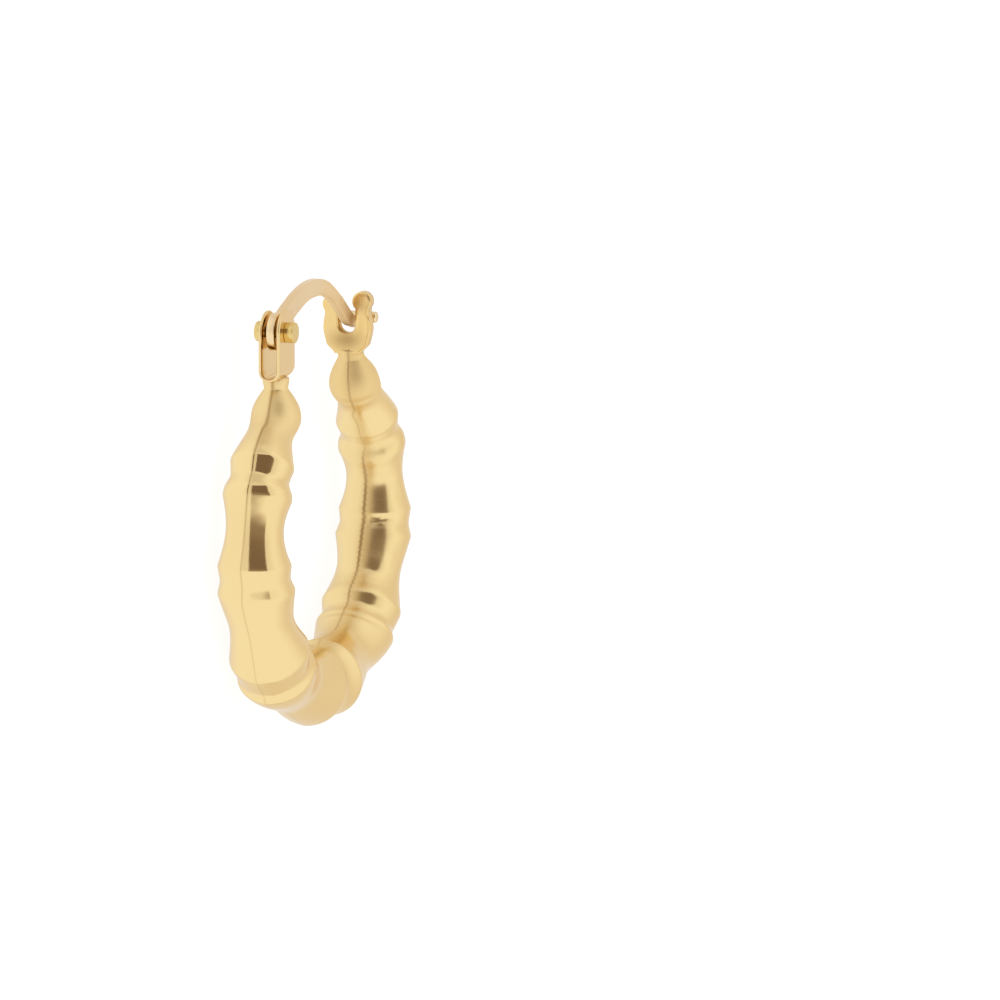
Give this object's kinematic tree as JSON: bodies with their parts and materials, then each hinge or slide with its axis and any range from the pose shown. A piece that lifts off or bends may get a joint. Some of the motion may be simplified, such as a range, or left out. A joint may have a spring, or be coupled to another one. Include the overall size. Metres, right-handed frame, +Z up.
{
  "type": "bamboo hoop earring",
  "caption": "Graduated bamboo hoop earring with paired ring ridges, a hinged flat ear wire and a slotted, knobbed catch, lying on its side.",
  "frame": {"origin": "on the surface that the earring lies on, under the middle of its box", "axes": "+X across the hoop from the hinge to the catch, +Y up the hoop towards the ear wire as it is worn, +Z up from the surface"},
  "size_m": [0.0218, 0.0224, 0.0041],
  "materials": {
    "tube_gold": "polished",
    "pin_gold": "polished",
    "wire_gold": "polished"
  },
  "bodies": {
    "hoop": {"bamboo_hoop": "tube_gold", "hinge_pin": "pin_gold"},
    "wire": {"ear_wire": "wire_gold"}
  },
  "joints": [
    {"name": "wire_hinge", "type": "hinge", "parent": "hoop", "child": "wire", "pos_m": [-0.00577, 0.00933, 0.00204], "axis": [0, 0, 1], "range_deg": [0, 110]}
  ]
}
